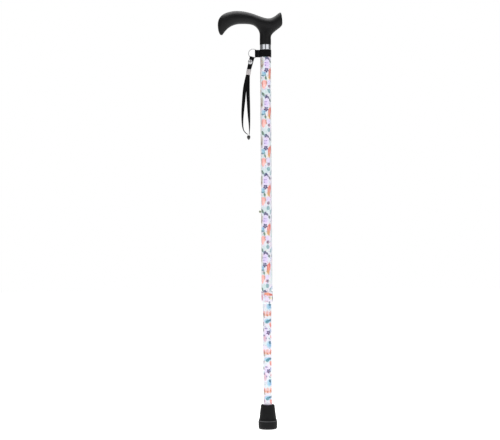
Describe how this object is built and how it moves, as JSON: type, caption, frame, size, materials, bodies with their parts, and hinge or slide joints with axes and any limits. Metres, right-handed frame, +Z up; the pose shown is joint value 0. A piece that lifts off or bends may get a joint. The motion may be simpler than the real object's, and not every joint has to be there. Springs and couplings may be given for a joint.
{
  "type": "single point cane",
  "caption": "Height-adjustable walking cane with a derby handle, telescoping printed tubes, a locking collar, a rubber tip and a wrist strap.",
  "frame": {"origin": "centre of the rubber tip's base, on the axis of the tubes", "axes": "+Z up along the tubes, -X towards the handle's nose, the adjustment holes and the wrist strap, +Y to the back as drawn"},
  "size_m": [0.134, 0.0396, 0.865],
  "materials": {
    "grip": "soft-touch matt black",
    "trim": "polished",
    "printed_tube": "satin lacquer over a small watercolour flower print",
    "printed_collar": "satin lacquer over a small watercolour flower print",
    "nylon": "moulded",
    "steel": "zinc plated",
    "button": "nickel plated, a little worn",
    "tip_rubber": "moulded matt",
    "webbing": "woven nylon",
    "ferrule": "pressed, satin"
  },
  "bodies": {
    "cane": {"handle_grip": "grip", "handle_plug": "nylon", "handle_screw": "steel", "chrome_ring": "trim", "upper_tube": "printed_tube"},
    "lower_section": {"lower_tube": "printed_tube", "glide_plug": "nylon", "button_spring": "steel", "rubber_tip": "tip_rubber", "tip_washer": "steel"},
    "button": {"snap_button": "button"},
    "collet": {"compression_ring": "nylon"},
    "nut": {"lock_nut": "printed_collar"},
    "keeper": {"keeper_band": "webbing"},
    "ring": {"split_ring": "trim"},
    "strap": {"strap_tab": "webbing", "snap_cap": "steel", "snap_socket": "steel", "snap_stud": "steel", "snap_back": "steel", "strap_crimp": "ferrule", "loop_left": "webbing", "loop_right": "webbing", "loop_knot": "webbing"}
  },
  "joints": [
    {"name": "height_adjust", "type": "slide", "parent": "cane", "child": "lower_section", "axis": [0, 0, -1], "range_m": [-0.1016, 0.0508]},
    {"name": "button_press", "type": "slide", "parent": "lower_section", "child": "button", "axis": [1, 0, 0], "range_m": [0, 0.006], "stiffness_N_per_m": 1200, "springref_m": -0.002, "deforming": ["button_spring"]},
    {"name": "collet_slide", "type": "slide", "parent": "cane", "child": "collet", "axis": [0, 0, -1], "range_m": [0, 0.0041]},
    {"name": "nut_turn", "type": "hinge", "parent": "collet", "child": "nut", "pos_m": [0, 0, 0.2715], "axis": [0, 0, -1], "range_deg": [0, 720]},
    {"name": "keeper_turn", "type": "hinge", "parent": "cane", "child": "keeper", "pos_m": [0, 0, 0.77645], "axis": [0, 0, 1], "continuous": true},
    {"name": "ring_turn", "type": "hinge", "parent": "keeper", "child": "ring", "pos_m": [-0.0256, 0, 0.7765], "axis": [0, 1, 0], "range_deg": [0, 60]},
    {"name": "strap_swing", "type": "hinge", "parent": "ring", "child": "strap", "pos_m": [-0.02789, 0, 0.76797], "axis": [0.9659, 0, -0.2588], "range_deg": [-50, 50]}
  ],
  "couplings": [
    {"joint": "collet_slide", "follows": "nut_turn", "m_per_rad": 0.00031831}
  ]
}
